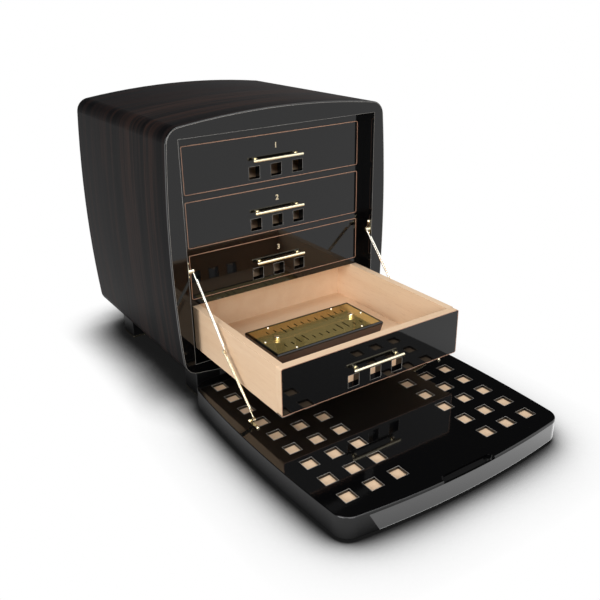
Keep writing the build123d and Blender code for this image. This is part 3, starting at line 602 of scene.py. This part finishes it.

# The humidifier: a brown moulded box with a wet pad inside, a black bevelled rim and a slotted
# brass plate that is screwed down on top and lifted by two small knobs. The plate's faces that don't face
# up, its slot walls and cut edges, are painted black as shade, so that the slots read dark.
base_brown = (0.052, 0.026, 0.021, 1)
base_roughness = 0.3
base_smoothest = 0.24
base_roughest = 0.38
base_grain_per_metre = (700.0, 700.0, 700.0)
base_relief = 0.08
base_depth = 0.0001
base_edge = 0.0004
bevel_roughness = 0.09
plate_gold = (0.560, 0.425, 0.150, 1)
plate_metal = 0.7
plate_roughness = 0.07
plate_mottle = 0.02
slot_painted_shade = (0.004, 0.004, 0.004, 1)
slot_shade_facing = 0.5
pad_grey_and_shade = (0.006, 0.006, 0.006, 1)
pad_roughness = 0.95
felt_per_metre = (900.0, 900.0, 900.0)
felt_relief = 0.5
felt_depth = 0.0005
moulded_brown = finish("moulded_brown", base_roughness, colour=base_brown)
grain = noise(moulded_brown, base_grain_per_metre, detail=2)
base_gloss = surface_of(moulded_brown).inputs["Roughness"]
spread(moulded_brown, grain, base_smoothest, base_roughest, base_gloss)
relief(moulded_brown, grain, base_relief, base_depth, round_edges=base_edge)
paint(moulded_brown, "humidifier_base")
paint(lacquer("humidifier_rim_gloss", roughness=bevel_roughness), "humidifier_rim")
plate_brass = brass(
    "mirror_brass_plate", plate_gold, plate_roughness, metallic=plate_metal, mottle=plate_mottle
)
# Every face of the plate that doesn't face up is painted black: painted shade in the slots.
recolour(plate_brass, facing_below(plate_brass, "Z", slot_shade_facing), slot_painted_shade)
paint(plate_brass, "humidifier_grille")
paint(polished_brass, "humidifier_knobs")
# The screws take the same whitened brass, with its painted reflection.
paint(reflection_whitened_brass, "humidifier_screws")
# The pad is dark of its own, and darkened further to near black as painted shade under the slots.
felt = finish("wet_pad", pad_roughness, colour=pad_grey_and_shade)
relief(felt, noise(felt, felt_per_metre, detail=3), felt_relief, felt_depth)
paint(felt, "humidifier_pad")

# The floor: white paper with a soft shade close round the cabinet. Seen by the camera or in a
# polished face, it is plain white, darker the more of its sky the cabinet hides. All other rays
# find a white paper under the lamps.
paper_white = (0.82, 0.82, 0.82, 1)
paper_seen = 1.0
paper_reflected = 0.82
paper_size = 14.0
shade_reach = 0.10
shade_samples = 24
shade_steps = (
    (0.50, 0.01), (0.59, 0.08), (0.68, 0.23), (0.75, 0.38), (0.83, 0.60),
    (0.90, 0.80), (0.94, 0.91), (0.97, 0.965), (0.995, 1.0),
)

paper_mesh = bpy.data.meshes.new("floor")
half = paper_size / 2
paper_corners = [(-half, -half, 0), (half, -half, 0), (half, half, 0), (-half, half, 0)]
paper_mesh.from_pydata(paper_corners, [], [(0, 1, 2, 3)])
floor = bpy.data.objects.new("floor", paper_mesh)
bpy.context.scene.collection.objects.link(floor)

paper = bpy.data.materials.new("floor_paper")
paper.use_nodes = True
paper.node_tree.nodes.remove(surface_of(paper))
rays = add(paper, "ShaderNodeLightPath")
hidden = add(paper, "ShaderNodeAmbientOcclusion", samples=shade_samples, Distance=shade_reach)
shade_greys = [(open_sky, (light, light, light, 1)) for open_sky, light in shade_steps]
shade = ramp(paper, hidden.outputs["AO"], *shade_greys)
lit = add(paper, "ShaderNodeBsdfDiffuse", Color=paper_white)
mirrored = add(paper, "ShaderNodeEmission", Strength=paper_reflected)
seen = add(paper, "ShaderNodeEmission", Strength=paper_seen)
join(paper, shade, mirrored.inputs["Color"])
join(paper, shade, seen.inputs["Color"])


def either(material, factor, first, second):
    """The second of two shaders where a factor is one, and otherwise the first."""
    node = add(material, "ShaderNodeMixShader")
    join(material, factor, node.inputs[0])
    join(material, first.outputs[0], node.inputs[1])
    join(material, second.outputs[0], node.inputs[2])
    return node


unseen = either(paper, rays.outputs["Is Glossy Ray"], lit, mirrored)
paper_surface = either(paper, rays.outputs["Is Camera Ray"], unseen, seen)
join(paper, paper_surface.outputs[0], paper.node_tree.nodes["Material Output"].inputs["Surface"])
paper_mesh.materials.append(paper)

# The room: dim and even for the wood, and white to the camera. Polished faces find it dark at
# the back and pale behind the viewer, over a pale skyline, so that brass and edges catch it.
room_white = (1, 1, 1, 1)
backdrop_light = 1.0
room_light = 0.18
dark_end = 0.02
pale_end = 1.5
dark_from = 0.4
pale_from = -0.25
skyline_light = 0.3
skyline_low = 0.12
skyline_high = 0.32

world = bpy.data.worlds.new("studio")
bpy.context.scene.world = world
world.cycles.sampling_method = "NONE"
world.use_nodes = True
for node in list(world.node_tree.nodes):
    world.node_tree.nodes.remove(node)


def eased(part, begin, stop, begin_light, stop_light):
    """A light that eases from one strength to another along a part of the direction."""
    node = add(world, "ShaderNodeMapRange", interpolation_type="SMOOTHSTEP")
    node.inputs["From Min"].default_value = begin
    node.inputs["From Max"].default_value = stop
    node.inputs["To Min"].default_value = begin_light
    node.inputs["To Max"].default_value = stop_light
    join(world, part, node.inputs["Value"])
    return node.outputs["Result"]


path = add(world, "ShaderNodeLightPath")
backdrop = add(world, "ShaderNodeBackground", Color=room_white, Strength=backdrop_light)
room = add(world, "ShaderNodeBackground", Color=room_white, Strength=room_light)
mirrored_room = add(world, "ShaderNodeBackground", Color=room_white)
outward = add(world, "ShaderNodeSeparateXYZ")
join(world, add(world, "ShaderNodeTexCoord").outputs["Generated"], outward.inputs["Vector"])
ends = eased(outward.outputs["Y"], pale_from, dark_from, pale_end, dark_end)
skyline = eased(outward.outputs["Z"], skyline_low, skyline_high, skyline_light, 0.0)
brightest = add(world, "ShaderNodeMath", operation="MAXIMUM")
join(world, ends, brightest.inputs[0])
join(world, skyline, brightest.inputs[1])
join(world, brightest.outputs["Value"], mirrored_room.inputs["Strength"])
unseen_room = either(world, path.outputs["Is Glossy Ray"], room, mirrored_room)
surroundings = either(world, path.outputs["Is Camera Ray"], unseen_room, backdrop)
world_output = add(world, "ShaderNodeOutputWorld")
join(world, surroundings.outputs[0], world_output.inputs["Surface"])

# The lamps: a high one lights the paper alone, and soft ones above, on the left and in front
# light all but the paper. A strip on the paper lies before the door and lights its core alone.
for name, place, target, width, height, power, link_state, receiver in (
    ("paper", (1.0, 0.7, 2.6), (0, -0.05, 0), 2.4, 2.4, 100, "INCLUDE", floor),
    ("overhead", (0.30, 0.05, 2.0), (0, -0.05, 0.1), 1.3, 1.3, 20, "EXCLUDE", floor),
    ("left", (-2.1, -0.95, 1.0), (0, -0.05, 0.15), 1.3, 1.3, 40, "EXCLUDE", floor),
    ("front", (-0.6, -2.3, 1.1), (0, -0.05, 0.15), 1.3, 1.3, 21, "EXCLUDE", floor),
    ("strip", (0.27, -0.385, 0.002), (0.27, -0.385, 0.1), 0.80, 0.10, 0.34, "INCLUDE", cad["door_core"]),
):
    lamp = bpy.data.lights.new(name, "AREA")
    lamp.shape = "RECTANGLE"
    lamp.size = width
    lamp.size_y = height
    lamp.energy = power
    holder = bpy.data.objects.new(name, lamp)
    bpy.context.scene.collection.objects.link(holder)
    aim = Vector(target) - Vector(place)
    holder.matrix_world = Matrix.Translation(place) @ aim.to_track_quat("-Z", "Y").to_matrix().to_4x4()
    receivers = bpy.data.collections.new(f"lit_by_{name}")
    receivers.objects.link(receiver)
    receivers.collection_objects[0].light_linking.link_state = link_state
    holder.light_linking.receiver_collection = receivers

view = bpy.context.scene.view_settings
view.view_transform = "Standard"
